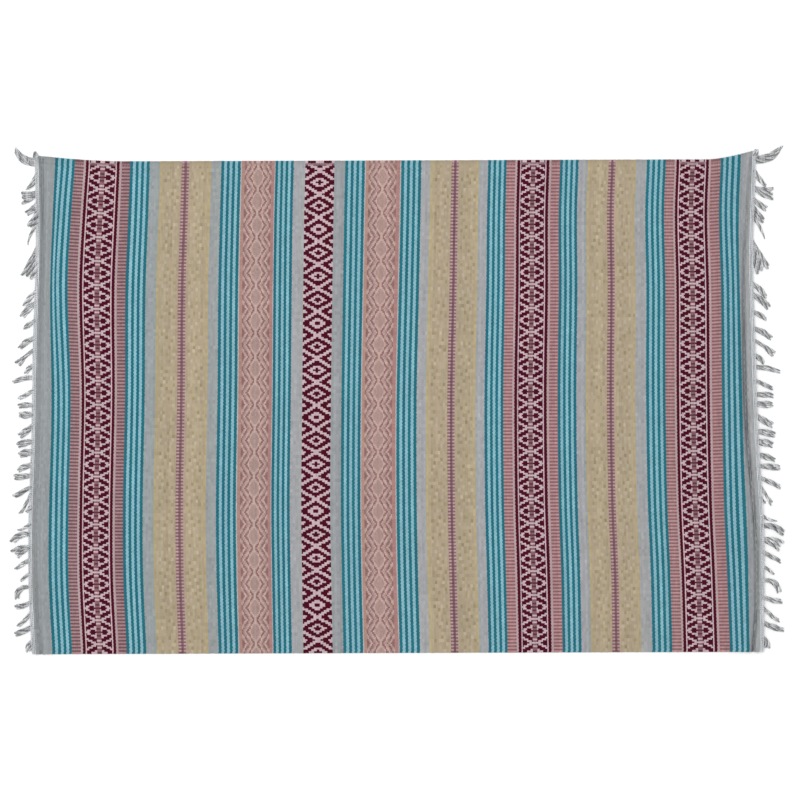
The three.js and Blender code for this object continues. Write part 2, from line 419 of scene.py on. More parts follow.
def smooth_through(rows, column, height):
    """A smooth curve through one column of a table whose heights fall from row to row."""
    table = np.array(rows, dtype=float)
    heights = table[:, 0]
    values = table[:, column]
    last = len(heights) - 1
    row = np.clip(np.searchsorted(-heights, -np.asarray(height), side="right") - 1, 0, last - 1)
    before = np.maximum(row - 1, 0)
    after = np.minimum(row + 2, last)
    run = heights[row + 1] - heights[row]
    slope_here = (values[row + 1] - values[before]) / (heights[row + 1] - heights[before])
    slope_next = (values[after] - values[row]) / (heights[after] - heights[row])
    t = np.clip((height - heights[row]) / run, 0, 1)
    ease = t * t * (3 - 2 * t)
    leave = run * slope_here * t * (1 - t) ** 2
    arrive = run * slope_next * t * t * (1 - t)
    return lerp(values[row], values[row + 1], ease) + leave - arrive


def left_end(height):
    return smooth_through(END_WAVE, 1, height)


def right_end(height):
    return smooth_through(END_WAVE, 2, height)


def linear_light(colour):
    """A colour out of 255, through the sRGB curve, as the share of light that the yarn gives back."""
    share = np.array(colour, dtype=float) / 255
    return np.where(share <= 0.04045, share / 12.92, ((share + 0.055) / 1.055) ** 2.4) / LIGHT_ON_CLOTH


# The cloth's own coordinates: along its length, up its width, and height off the floor


def top_edge(x):
    left, right = END_WAVE[0][1:]
    level = lerp(TOP_EDGE_LEFT, TOP_EDGE_RIGHT, (x - left) / (right - left))
    left_share = np.clip(1 - (x - left) / LEFT_CORNER_RUN, 0, 1)
    right_share = np.clip(1 - (right - x) / RIGHT_CORNER_RUN, 0, 1)
    rise = LEFT_CORNER_RISE * left_share ** CORNER_CURVE
    return level + rise + RIGHT_CORNER_RISE * right_share ** CORNER_CURVE


def bottom_edge(x):
    left, right = END_WAVE[0][1:]
    return lerp(BOTTOM_EDGE_LEFT, BOTTOM_EDGE_RIGHT, (x - left) / (right - left))


def cloth_places(along, across):
    """Drawing x and y for shares along the cloth at each share across it, one row a share across."""
    height = lerp(BOTTOM_EDGE_LEFT, TOP_EDGE_LEFT, across)
    inset = STRIP_WIDTH + PIECE_GAP
    start = left_end(0.0) + inset
    finish = right_end(0.0) - inset
    stations = np.concatenate(([start], SWAY_PLACES, [finish]))
    sways = [left_end(height) - left_end(0.0)]
    for place in range(len(SWAY_PLACES)):
        sways.append(smooth_through(STRIPE_SWAY, place + 1, height))
    sways.append(right_end(height) - right_end(0.0))
    sways = np.array(sways)
    straight = lerp(start, finish, along)
    x = np.empty((len(across), len(along)))
    for row in range(len(across)):
        x[row] = straight + np.interp(straight, stations, sways[:, row])
    share = across[:, None]
    y = lerp(bottom_edge(x), top_edge(x), share)
    return x, y


def trough(distance, centre, half_width, depth, fade):
    """Cloth that stands up on both sides of a crease and settles again further in."""
    beside = 1 - np.exp(-(np.abs((distance - centre) / half_width) ** CREASE_SHARPNESS))
    settling = np.exp(-np.maximum(distance - centre, 0) / fade)
    return depth * beside * settling


def end_lift(rows, height, distance):
    centre = smooth_through(rows, 1, height)
    depth = smooth_through(rows, 2, height)
    return trough(distance, centre, CREASE_HALF_WIDTH, depth, CREASE_FADE)


def crease_shade(x, y):
    """How much the dyes are darkened in the creases, in place of shadow that the soft light leaves out."""
    shade = np.zeros_like(x)
    for rows, distance in ((LEFT_CREASE, x - left_end(y)), (RIGHT_CREASE, right_end(y) - x)):
        off_centre = (distance - smooth_through(rows, 1, y)) / CREASE_SHADE_HALF_WIDTH
        shade += CREASE_SHADE * smooth_through(rows, 2, y) * np.exp(-(off_centre ** 2))
    from_crease = (top_edge(x) - y - SELVEDGE_CREASE_IN) / SELVEDGE_SHADE_HALF_WIDTH
    from_corner = (x - left_end(y)) / SELVEDGE_SHADE_RUN
    return shade + SELVEDGE_SHADE * np.exp(-(from_crease ** 2) - from_corner ** 2)


def relief(x, y):
    """How far the cloth's underside stands off the floor."""
    lift = end_lift(LEFT_CREASE, y, x - left_end(y)) + end_lift(RIGHT_CREASE, y, right_end(y) - x)
    from_top = top_edge(x) - y
    selvedge = (SELVEDGE_CREASE_IN, CREASE_HALF_WIDTH, SELVEDGE_CREASE_DEPTH, SELVEDGE_CREASE_FADE)
    lift += trough(from_top, *selvedge)
    for swell in SWELLS:
        turn = math.radians(swell["heading"])
        dx = x - swell["x"]
        dy = y - swell["y"]
        lengthwise = (dx * math.cos(turn) + dy * math.sin(turn)) / swell["long"]
        sideways = (dy * math.cos(turn) - dx * math.sin(turn)) / swell["wide"]
        lift += swell["height"] * np.exp(-(lengthwise ** 2 + sideways ** 2))
    return lift


def to_frame(x, y, z):
    """Points in metres in the shared frame."""
    return np.stack(((x - MIDDLE_X) * MM, (y - MIDDLE_Y) * MM, z * MM), axis=-1)


# What each band weaves: a dye's number for every pick and warp of the band


def dye(name):
    return DYE_NAMES.index(name)


def figure_place(pick, warp, picks, start=FIGURE_START, repeat=REPEAT_WARPS):
    """Distance out from the middle of a figure, and up from the nearest eye."""
    out = np.abs(pick - (picks - 1) / 2) * FIGURE_WIDTH / picks
    step = (warp - start) % repeat
    up = np.minimum(step, repeat - step) * WARP_PITCH
    return out, up


def plain_weave(name):
    return lambda pick, warp, picks: np.full(np.broadcast(pick, warp).shape, dye(name))


def teal_weave(pick, warp, picks):
    deep = (pick // 2) % 2 == 0
    return np.where(deep, dye("deep teal"), dye("pale blue")) + 0 * warp


def hatch_weave(first, second):
    return lambda pick, warp, picks: np.where(pick % 2 == 0, dye(first), dye(second)) + 0 * warp


def ladder_weave(pick, warp, picks):
    """Dark rungs between two lines of pale dots."""
    inner = np.where(pick % 2 == 0, dye("dusk"), dye("mauve"))
    outer = np.where(pick % 2 == 0, dye("faded dusk"), dye("pink"))
    at_side = (pick < 2) | (pick >= picks - 2)
    return np.where(at_side, outer, inner) + 0 * warp


def lattice_weave(pick, warp, picks):
    out, up = figure_place(pick, warp, picks)
    share = (out - LATTICE_BAR_INNER[0]) / (LATTICE_BAR_OUTER[0] - LATTICE_BAR_INNER[0])
    middle = lerp(LATTICE_BAR_INNER[1], LATTICE_BAR_OUTER[1], share)
    bar = np.abs(up - middle) < LATTICE_BAR_HALF
    eye = np.abs(out - LATTICE_EYE_OUT) / LATTICE_EYE_WIDE + up / LATTICE_EYE_TALL < 1
    tall = LATTICE_SIDE_TALL * (out - LATTICE_SIDE_TIP) / (LATTICE_SIDE_BASE - LATTICE_SIDE_TIP)
    side = HALF_REPEAT - up < tall
    dark = (bar | eye | side) & (out < LATTICE_OUTSIDE)
    figure = np.where(dark, dye("maroon"), dye("light"))
    near_eye = up < LATTICE_BAR_INNER[1] - LATTICE_BAR_HALF
    rungs = np.where(near_eye, dye("wine"), dye("mauve"))
    between = np.where(near_eye, dye("mauve"), dye("light"))
    ladder = np.where(warp % 2 == 0, rungs, between)
    return np.where(out < LATTICE_LADDER, ladder, figure)


def diamond_weave(pick, warp, picks):
    out, up = figure_place(pick, warp, picks, DIAMOND_START, DIAMOND_REPEAT_WARPS)
    ring = np.searchsorted(DIAMOND_RINGS, out * DIAMOND_SLANT + up)
    return np.where(ring % 2 == 0, dye("maroon"), dye("light"))


def lozenge_weave(pick, warp, picks):
    out, up = figure_place(pick, warp, picks)
    zigzag = lerp(LOZENGE_ZIGZAG_EYE, LOZENGE_ZIGZAG_WAIST, up / HALF_REPEAT)
    tones = np.array([dye(name) for name in LOZENGE_TONES])
    return tones[np.searchsorted(LOZENGE_STEPS, out - zigzag)]


def sand_weave(lean):
    def weave(pick, warp, picks):
        columns = picks // 2
        away = (pick if lean > 0 else picks - 1 - pick) // 2
        slant = (FLECK_STEP * (warp // 2) + away) % FLECK_CYCLE
        chance = np.random.default_rng(SEED + picks).random((columns, WARPS // 2))
        flecked = (away >= FLECK_FIRST) & (away <= FLECK_LAST) & (chance[away, warp // 2] < FLECK_SHARE)
        fleck = np.where(slant == 0, dye("olive"), np.where(slant == 2, dye("pale sand"), dye("sand")))
        edge = np.where(away == columns - 1, dye("straw"), dye("sand"))
        return np.where(flecked, fleck, edge)

    return weave


WEAVES = {
    "grey": plain_weave("grey"),
    "silver": plain_weave("silver"),
    "pale": plain_weave("pale grey"),
    "edging": plain_weave("edging"),
    "maroon": plain_weave("maroon"),
    "terracotta": plain_weave("terracotta"),
    "rosewood": plain_weave("rosewood"),
    "teal": teal_weave,
    "rose": hatch_weave("rose", "dusk"),
    "faded rose": hatch_weave("faded rose", "faded dusk"),
    "ladder": ladder_weave,
    "lattice": lattice_weave,
    "diamond": diamond_weave,
    "lozenge": lozenge_weave,
    "sand left": sand_weave(-1),
    "sand right": sand_weave(1),
}


def lay_picks():
    """Each pick's share along the cloth, its width and band, and the dye of every float on it."""
    length = sum(width for _, width, _ in BANDS)
    warp = np.arange(WARPS)[None, :]
    edges = [0.0]
    names = []
    dyes = []
    for name, width, picks in BANDS:
        pick = np.arange(picks)[:, None]
        start = edges[-1]
        edges.extend(start + width / length * (np.arange(picks) + 1) / picks)
        names.extend([name] * picks)
        dyes.append(WEAVES[name](pick, warp, picks))
    return np.array(edges), np.array(names), np.concatenate(dyes)


def dye_colours(numbers):
    """Linear colours of the floats, a little uneven from pair to pair and from float to float."""
    draw = np.random.default_rng(SEED)
    palette = np.array([linear_light(DYES[name]) for name in DYE_NAMES])
    colours = palette[numbers]
    picks, warps = numbers.shape
    lot = draw.normal(1, PICK_VARIATION, (picks // 2, 1, 1))
    tint = draw.normal(1, TINT_VARIATION, (picks // 2, 1, 3))
    each = draw.normal(1, FLOAT_VARIATION, (picks, warps, 1))
    return colours * np.repeat(lot * tint, 2, axis=0) * each


# Node trees and plain meshes


def add_node(tree, kind, settings, sockets):
    made = tree.nodes.new(kind)
    for name, value in settings.items():
        setattr(made, name, value)
    for name, value in sockets.items():
        if isinstance(value, bpy.types.NodeSocket):
            tree.links.new(value, made.inputs[name])
        else:
            made.inputs[name].default_value = value
    return made


def new_tree(name, sizes):
    """A Geometry Nodes tree with named inputs and its group input node."""
    tree = bpy.data.node_groups.new(name, "GeometryNodeTree")
    tree.interface.new_socket("Geometry", in_out="OUTPUT", socket_type="NodeSocketGeometry")
    tree.interface.new_socket("Geometry", in_out="INPUT", socket_type="NodeSocketGeometry")
    for label, kind in sizes:
        tree.interface.new_socket(label, in_out="INPUT", socket_type=kind)
    return tree, add_node(tree, "NodeGroupInput", {}, {}).outputs


def end_tree(tree, geometry, finish):
    """Smooth, realize and give the finish, then hand the geometry out."""
    smooth = add_node(tree, "GeometryNodeSetShadeSmooth", {}, {0: geometry})
    real = add_node(tree, "GeometryNodeRealizeInstances", {}, {0: smooth.outputs[0]})
    sockets = {"Geometry": real.outputs[0], "Material": finish}
    finished = add_node(tree, "GeometryNodeSetMaterial", {}, sockets)
    add_node(tree, "NodeGroupOutput", {}, {0: finished.outputs[0]})


def attribute_of(tree, name, kind):
    return add_node(tree, "GeometryNodeInputNamedAttribute", {"data_type": kind}, {"Name": name}).outputs[0]


def float_tree():
    """A weft float on every point, turned and sized by the point, a little uneven."""
    inputs = (
        ("Float form", "NodeSocketObject"),
        ("Yarn", "NodeSocketMaterial"),
        ("Smallest", "NodeSocketFloat"),
        ("Largest", "NodeSocketFloat"),
        ("Seed", "NodeSocketInt"),
    )
    tree, given = new_tree("weft_floats", inputs)
    form = add_node(tree, "GeometryNodeObjectInfo", {}, {"Object": given["Float form"]})
    limits = {"Min": given["Smallest"], "Max": given["Largest"], "Seed": given["Seed"]}
    vary = tree.nodes.new("FunctionNodeRandomValue")
    vary.data_type = "FLOAT"
    for name, socket in limits.items():
        target = [port for port in vary.inputs if port.name == name and port.enabled][0]
        tree.links.new(socket, target)
    spread = [port for port in vary.outputs if port.enabled][0]
    size = attribute_of(tree, "size", "FLOAT_VECTOR")
    scaled = add_node(tree, "ShaderNodeVectorMath", {"operation": "SCALE"}, {0: size, "Scale": spread})
    angles = {"Y": attribute_of(tree, "tilt", "FLOAT"), "Z": attribute_of(tree, "lie", "FLOAT")}
    turn = add_node(tree, "ShaderNodeCombineXYZ", {}, angles)
    sockets = {
        "Points": given["Geometry"],
        "Instance": form.outputs["Geometry"],
        "Rotation": turn.outputs[0],
        "Scale": scaled.outputs[0],
    }
    floats = add_node(tree, "GeometryNodeInstanceOnPoints", {}, sockets)
    end_tree(tree, floats.outputs[0], given["Yarn"])
    return tree


def yarn_tree():
    """A round yarn along every chain of edges, as thick as its points say."""
    inputs = (("Sides", "NodeSocketInt"), ("Yarn", "NodeSocketMaterial"))
    tree, given = new_tree("swept_yarns", inputs)
    lines = add_node(tree, "GeometryNodeMeshToCurve", {}, {"Mesh": given["Geometry"]})
    round_form = {"Resolution": given["Sides"], "Radius": 1.0}
    ring = add_node(tree, "GeometryNodeCurvePrimitiveCircle", {}, round_form)
    sockets = {"Curve": lines.outputs[0], "Profile Curve": ring.outputs[0], "Fill Caps": True}
    sockets["Scale"] = attribute_of(tree, "girth", "FLOAT")
    swept = add_node(tree, "GeometryNodeCurveToMesh", {}, sockets)
    end_tree(tree, swept.outputs[0], given["Yarn"])
    return tree


def show(name, mesh):
    piece = bpy.data.objects.new(name, mesh)
    bpy.context.scene.collection.objects.link(piece)
    return piece


def set_points(mesh, name, kind, values):
    layer = mesh.attributes.new(name, kind, "POINT")
    field = {"FLOAT": "value", "FLOAT_VECTOR": "vector", "FLOAT_COLOR": "color"}[kind]
    layer.data.foreach_set(field, np.ascontiguousarray(values, dtype=np.float32).ravel())


def grow(name, mesh, tree, values, spent):
    """Runs a tree over a mesh of points or lines and keeps its result as a plain mesh."""
    carrier = show(name + "_carrier", mesh)
    growth = carrier.modifiers.new("growth", "NODES")
    growth.node_group = tree
    for item in tree.interface.items_tree:
        if item.in_out == "INPUT" and item.name in values:
            growth[item.identifier] = values[item.name]
    graph = bpy.context.evaluated_depsgraph_get()
    grown = bpy.data.meshes.new_from_object(carrier.evaluated_get(graph), depsgraph=graph)
    bpy.data.objects.remove(carrier)
    for attribute in spent:
        if attribute in grown.attributes:
            grown.attributes.remove(grown.attributes[attribute])
    grown.name = name
    return show(name, grown)


def map_from_above(mesh, left=0.0, right=1.0):
    """A map for textures, laid over the piece from above."""
    places = np.empty(len(mesh.vertices) * 3, dtype=np.float32)
    mesh.vertices.foreach_get("co", places)
    flat = places.reshape(-1, 3)[:, :2]
    low = flat.min(axis=0)
    shares = (flat - low) / (flat.max(axis=0) - low)
    shares[:, 0] = lerp(left, right, shares[:, 0])
    corners = np.empty(len(mesh.loops), dtype=np.int32)
    mesh.loops.foreach_get("vertex_index", corners)
    layer = mesh.uv_layers.new(name="OFBake")
    layer.data.foreach_set("uv", shares[corners].astype(np.float32).ravel())
    return layer


# Finishes


class Wire:
    """A node's output that takes part in sums and products."""

    def __init__(self, tree, socket=None):
        self.tree = tree
        self.socket = socket

    def node(self, kind, settings=None, sockets=None, output=0):
        plain = {}
        for name, value in (sockets or {}).items():
            plain[name] = value.socket if isinstance(value, Wire) else value
        made = add_node(self.tree, kind, settings or {}, plain)
        return Wire(self.tree, made.outputs[output])

    def combine(self, operation, first, second):
        return self.node("ShaderNodeMath", {"operation": operation}, {0: first, 1: second})

    def __add__(self, other):
        return self.combine("ADD", self, other)

    __radd__ = __add__

    def __sub__(self, other):
        return self.combine("SUBTRACT", self, other)

    def __rsub__(self, other):
        return self.combine("SUBTRACT", other, self)

    def __mul__(self, other):
        return self.combine("MULTIPLY", self, other)

    __rmul__ = __mul__


def new_finish(name, roughness, sheen):
    """A material with its surface shader, and a wire to add nodes with."""
    finish = bpy.data.materials.new(name)
    finish.use_nodes = True
    shader = finish.node_tree.nodes["Principled BSDF"]
    shader.inputs["Roughness"].default_value = roughness
    shader.inputs["Specular IOR Level"].default_value = YARN_SPECULAR
    shader.inputs["Sheen Weight"].default_value = sheen
    shader.inputs["Sheen Roughness"].default_value = SHEEN_ROUGHNESS
    return finish, shader, Wire(finish.node_tree)


def noise(wire, place, scale):
    """Fine noise about zero."""
    sockets = {"Vector": place, "Scale": scale, "Detail": NOISE_DETAIL}
    return wire.node("ShaderNodeTexNoise", {}, sockets) - 0.5


def finish_yarn(shader, wire, fade, streak, fibre):
    """Fading over the piece, streaks up the rug's width and fine fibres, on the yarn's own dye."""
    colour = wire.node("ShaderNodeAttribute", {"attribute_name": "dye"}, output="Color")
    place = wire.node("ShaderNodeTexCoord", output="Object")
    drawn = wire.node("ShaderNodeVectorMath", {"operation": "MULTIPLY"}, {0: place, 1: STREAK_SCALE})
    fibres = noise(wire, place, FIBRE_SCALE)
    value = 1 + fade * noise(wire, place, FADE_SCALE) + streak * noise(wire, drawn, 1.0) + fibre * fibres
    toned = wire.node("ShaderNodeVectorMath", {"operation": "SCALE"}, {0: colour, "Scale": value})
    sockets = {"Strength": BUMP_STRENGTH, "Distance": BUMP_HEIGHT, "Height": fibres}
    bump = wire.node("ShaderNodeBump", {}, sockets)
    wire.tree.links.new(toned.socket, shader.inputs["Base Color"])
    wire.tree.links.new(bump.socket, shader.inputs["Normal"])


def dyed_weft():
    finish, shader, wire = new_finish("dyed_cotton_weft", WEFT_ROUGHNESS, WEFT_SHEEN)
    finish_yarn(shader, wire, WEFT_FADE, WEFT_STREAK, WEFT_FIBRE)
    return finish


def undyed_warp():
    finish, shader, wire = new_finish("undyed_cotton_warp", WARP_ROUGHNESS, WARP_SHEEN)
    finish_yarn(shader, wire, WARP_FADE, WARP_STREAK, WARP_FIBRE)
    return finish


def pale_floor():
    finish, shader, _ = new_finish("pale_floor", FLOOR_ROUGHNESS, 0.0)
    shader.inputs["Base Color"].default_value = (FLOOR_SHADE, FLOOR_SHADE, FLOOR_SHADE, 1)
    return finish


# The cloth


def rug_sheet(edges, pick_colours, finish):
    """The cloth itself, a thin sheet with its creases, its stripes on both faces."""
    across = np.linspace(0, 1, SHEET_ROWS + 1)
    numbers = np.arange(len(edges))
    at_end = (edges < SHEET_FINE_END) | (edges > 1 - SHEET_FINE_END)
    kept = np.nonzero((numbers % 2 == 0) | at_end)[0]
    pair_colours = np.repeat((pick_colours[::2] + pick_colours[1::2]) / 2, 2, axis=0)
    x, y = cloth_places(edges[kept], across)
    under = relief(x, y)
    top = to_frame(x, y, under + SHEET_THICKNESS).reshape(-1, 3)
    bottom = to_frame(x, y, under).reshape(-1, 3)
    rows, columns = x.shape
    number = np.arange(rows * columns).reshape(rows, columns)
    here, right = number[:-1, :-1], number[:-1, 1:]
    up, both = number[1:, :-1], number[1:, 1:]
    count = rows * columns
    faces = [
        np.stack((here, right, both, up), axis=-1).reshape(-1, 4),
        np.stack((here, up, both, right), axis=-1).reshape(-1, 4) + count,
    ]
    stripe = [np.tile(np.arange(columns - 1), rows - 1)] * 2
    rims = (
        (number[0, :], np.arange(columns - 1)),
        (number[-1, ::-1], np.arange(columns - 1)[::-1]),
        (number[::-1, 0], np.zeros(rows - 1, dtype=int)),
        (number[:, -1], np.full(rows - 1, columns - 2)),
    )
    for rim, columns_beside in rims:
        near, far = rim[:-1], rim[1:]
        faces.append(np.stack((near + count, far + count, far, near), axis=-1))
        stripe.append(columns_beside)
    mesh = bpy.data.meshes.new("rug_sheet")
    mesh.from_pydata(np.concatenate((top, bottom)).tolist(), [], np.concatenate(faces).tolist())
    colours = np.ones((len(mesh.polygons), 4, 4), dtype=np.float32)
    colours[:, :, :3] = pair_colours[kept[np.concatenate(stripe)]][:, None, :]
    layer = mesh.attributes.new("dye", "FLOAT_COLOR", "CORNER")
    layer.data.foreach_set("color", colours.ravel())
    mesh.polygons.foreach_set("use_smooth", np.ones(len(mesh.polygons), dtype=bool))
    mesh.materials.append(finish)
    map_sheet(mesh, count)
    return show("rug_sheet", mesh)


def map_sheet(mesh, count):
    """The upper face's map on the left half, the underside's on the right half."""
    layer = map_from_above(mesh, 0.0, SHEET_MAP_SHARE)
    corners = np.empty(len(mesh.loops), dtype=np.int32)
    mesh.loops.foreach_get("vertex_index", corners)
    places = np.empty(len(mesh.loops) * 2, dtype=np.float32)
    layer.data.foreach_get("uv", places)
    places = places.reshape(-1, 2)
    places[corners >= count, 0] += 1 - SHEET_MAP_SHARE
    layer.data.foreach_set("uv", places.ravel())


def float_form():
    """A weft float of unit size: a ridge along the yarn, sloping to all four sides, flat below."""
    points = (
        (-0.5, -0.5, 0),
        (0.5, -0.5, 0),
        (0.5, 0.5, 0),
        (-0.5, 0.5, 0),
        (0, -FLOAT_RIDGE, 1),
        (0, FLOAT_RIDGE, 1),
    )
    faces = ((0, 1, 4), (1, 2, 5, 4), (2, 3, 5), (3, 0, 4, 5), (3, 2, 1, 0))
    mesh = bpy.data.meshes.new("float_form")
    mesh.from_pydata(points, [], faces)
    base = set(range(4))
    for edge in mesh.edges:
        edge.use_edge_sharp = base.issuperset(edge.vertices)
    return show("float_form", mesh)


def weft_pieces(edges, names, colours, finish):
    """Every float of the upper face, one piece for each family of bands."""
    fine = np.isin(names, FINE_BANDS)
    long = np.isin(names, LONG_BANDS)
    singles = (edges[:-1] + edges[1:]) / 2
    gathered = lerp(singles, np.repeat(edges[1::2], 2), PAIR_GATHER)
    middles = np.where(fine, singles, gathered)
    across = (np.arange(WARPS) + 0.5) / WARPS
    x, y = cloth_places(middles, across)
    step_left, _ = cloth_places(edges[:-1], across)
    step_right, _ = cloth_places(edges[1:], across)
    float_width = (step_right - step_left) * np.where(fine, FINE_WIDTH_PICKS, FLOAT_WIDTH_PICKS)
    slant = np.gradient(x, axis=0)
    pitch = np.gradient(y, axis=0)
    lie = -np.arctan2(slant, pitch)
    float_rise = np.broadcast_to(np.where(long, LONG_FLOAT_RISE, FLOAT_RISE), x.shape)
    float_length = pitch * np.where(long, FLOAT_LENGTH_WARPS + 1, FLOAT_LENGTH_WARPS)
    y = y + np.where(long, pitch / 2, 0)
    z = relief(x, y) + SHEET_THICKNESS - FLOAT_SINK
    darkened = crease_shade(x, y)
    slope = (relief(x + SLOPE_REACH, y) - relief(x - SLOPE_REACH, y)) / (2 * SLOPE_REACH)
    warp = np.arange(WARPS)[:, None]
    pick = np.arange(len(middles))[None, :]
    in_turn = (warp + pick) % 2 == 0
    by_twos = (warp % 2 == 0) & ((warp // 2 + pick) % 2 == 0)
    on_face = np.where(fine, True, np.where(long, by_twos, in_turn))
    tree = float_tree()
    form = float_form()
    pieces = []
    for piece_name, bands in WEFT_PIECES.items():
        chosen = on_face & np.isin(names, bands)[None, :]
        mesh = bpy.data.meshes.new(piece_name + "_points")
        places = to_frame(x[chosen], y[chosen], z[chosen])
        mesh.from_pydata(places.tolist(), [], [])
        width = float_width[chosen] * np.hypot(1, slope[chosen]) * MM
        length = float_length[chosen] * MM
        rise = float_rise[chosen] * MM
        set_points(mesh, "size", "FLOAT_VECTOR", np.stack((width, length, rise), axis=-1))
        set_points(mesh, "lie", "FLOAT", lie[chosen])
        set_points(mesh, "tilt", "FLOAT", -np.arctan(slope[chosen]))
        dyes = np.ones((len(width), 4))
        # The float dyes take the painted shade of the creases
        dyes[:, :3] = colours.transpose(1, 0, 2)[chosen] * (1 - darkened[chosen])[:, None]
        set_points(mesh, "dye", "FLOAT_COLOR", dyes)
        values = {
            "Float form": form,
            "Yarn": finish,
            "Smallest": 1 - FLOAT_UNEVENNESS,
            "Largest": 1 + FLOAT_UNEVENNESS,
            "Seed": SEED,
        }
        piece = grow(piece_name, mesh, tree, values, ("size", "lie", "tilt"))
        map_from_above(piece.data)
        pieces.append(piece)
    bpy.data.objects.remove(form)
    return pieces


# The fringes


class YarnLines:
    """Chains of points that become yarns, with a thickness and a colour at every point."""

    def __init__(self):
        self.places = []
        self.edges = []
        self.girths = []
        self.colours = []
        self.count = 0

    def add(self, places, girth, colour):
        steps = len(places)
        numbers = np.arange(self.count, self.count + steps)
        self.places.append(places)
        self.edges.append(np.stack((numbers[:-1], numbers[1:]), axis=-1))
        self.girths.append(np.broadcast_to(girth, (steps,)) * MM)
        self.colours.append(np.broadcast_to((*colour, 1.0), (steps, 4)))
        self.count += steps

    def mesh(self, name):
        made = bpy.data.meshes.new(name + "_lines")
        made.from_pydata(np.concatenate(self.places).tolist(), np.concatenate(self.edges).tolist(), [])
        set_points(made, "girth", "FLOAT", np.concatenate(self.girths))
        set_points(made, "dye", "FLOAT_COLOR", np.concatenate(self.colours))
        return made


def strip_lift(outward, height):
    """How far the creased end of the cloth carries its strip off the floor."""
    rows = RIGHT_CREASE if outward > 0 else LEFT_CREASE
    return end_lift(rows, height, STRIP_WIDTH)


def cord_strip(lines, outward):
    """Twisted cords side by side along one end of the cloth."""
    end = right_end if outward > 0 else left_end
    length = TOP_EDGE_LEFT - BOTTOM_EDGE_LEFT
    steps = int(length / CORD_TWIST * CORD_STEPS_A_TURN)
    across = np.linspace(0, 1, steps)
    height = lerp(BOTTOM_EDGE_LEFT, TOP_EDGE_LEFT, across)
    cord_width = STRIP_WIDTH / CORDS
    for cord in range(CORDS):
        middle = end(height) - outward * (cord + 0.5) * cord_width
        y = lerp(bottom_edge(middle), top_edge(middle), across)
        z = CORD_CENTRE_HEIGHT + strip_lift(outward, height)
        hand = 1 if cord % 2 == 0 else -1
        for ply in range(CORD_PLIES):
            angle = hand * math.tau * across * length / CORD_TWIST + math.tau * ply / CORD_PLIES
            out = cord_width / 4
            places = to_frame(middle + out * np.cos(angle), y, z + out * np.sin(angle))
            lines.add(places, cord_width / 4 * CORD_FULLNESS, linear_light(CORD_SHADE))


def tassel_width(tassel, t):
    to_belly = lerp(tassel["neck"], tassel["belly"], t / BELLY_AT)
    to_tip = lerp(tassel["belly"], tassel["tip"], (t - BELLY_AT) / (1 - BELLY_AT))
    return np.where(t < BELLY_AT, to_belly, to_tip)


def tassel_path(tassel, outward, t):
    """Points and headings along a tassel's middle line."""
    offset = (tassel["y"] - FRINGE_MIDDLE_Y) / FRINGE_HALF_LENGTH
    lift = RIGHT_LIFT_ENDS + RIGHT_LIFT_MIDDLE * (1 - offset * offset) if outward > 0 else 0
    reach = tassel["reach"] * (RIGHT_REACH if outward > 0 else 1)
    root_y = tassel["y"] + lift
    edge = float((right_end if outward > 0 else left_end)(root_y))
    root = np.array((edge - outward * ROOT_INSET, root_y))
    tip = np.array((edge + outward * reach, root_y - tassel["drop"]))
    sideways = np.array((-outward * tassel["drop"], -reach), dtype=float)
    sideways /= np.linalg.norm(sideways)
    bend = (root + tip) / 2 + sideways * tassel["bow"] * 2
    t = t[:, None]
    points = root * (1 - t) ** 2 + bend * 2 * t * (1 - t) + tip * t ** 2
    heading = (bend - root) * (1 - t) + (tip - bend) * t
    heading /= np.linalg.norm(heading, axis=1)[:, None]
    return points, heading, root_y


def tassel_yarn(lines, tassel, outward, number, draw):
    """One yarn of a tassel: plies twisted together, from the strip through the knot to its end."""
    finish = RAGGED_LENGTHS[number % len(RAGGED_LENGTHS)]
    t = np.linspace(0, finish, YARN_STEPS)
    points, heading, root_y = tassel_path(tassel, outward, t)
    normal = np.stack((-heading[:, 1], heading[:, 0]), axis=-1)
    room = tassel_width(tassel, t)
    loose = np.clip((t - KNOT_AT) / (1 - KNOT_AT), 0, 1)
    wander = WANDER * loose * np.sin(math.tau * (WANDER_TURNS * t + draw.random()))
    side = ((number + 0.5) / tassel["yarns"] - 0.5) * room * YARN_SPREAD + wander
    middle = points + normal * side[:, None]
    radius = np.minimum(room * YARN_FILL / tassel["yarns"] / 2, YARN_RADIUS_MOST)
    rest = radius * (PLY_SPREAD + PLY_SHARE) + FLOOR_CLEARANCE
    start = CORD_CENTRE_HEIGHT + strip_lift(outward, root_y)
    rise = np.interp(t, (0, KNOT_FROM, KNOT_AT, BELLY_AT), (1, 1, KNOT_RISE, 0))
    knotted = np.interp(t, (0, KNOT_FROM, KNOT_AT), (start, KNOT_CENTRE_HEIGHT, KNOT_CENTRE_HEIGHT))
    z = np.maximum(lerp(rest, knotted, rise), rest)
    step = np.linalg.norm(np.diff(middle, axis=0), axis=1)
    walked = np.concatenate(([0], np.cumsum(step)))
    taper = np.interp(t / finish, (0, TIP_FROM, 1), (1, 1, TIP_TAPER))
    shade = linear_light(TASSEL_SHADE) * draw.normal(1, SHADE_VARIATION)
    turn = draw.random()
    for ply in range(YARN_PLIES):
        angle = math.tau * (walked / YARN_TWIST + turn + ply / YARN_PLIES)
        out = radius * PLY_SPREAD
        x = middle[:, 0] + normal[:, 0] * out * np.cos(angle)
        y = middle[:, 1] + normal[:, 1] * out * np.cos(angle)
        places = to_frame(x, y, z + out * np.sin(angle))
        # Each ply's tone carries its painted shade, light and dark in turn along the twist
        lines.add(places, radius * PLY_SHARE * taper, shade * PLY_PAINTED_SHADES[ply])


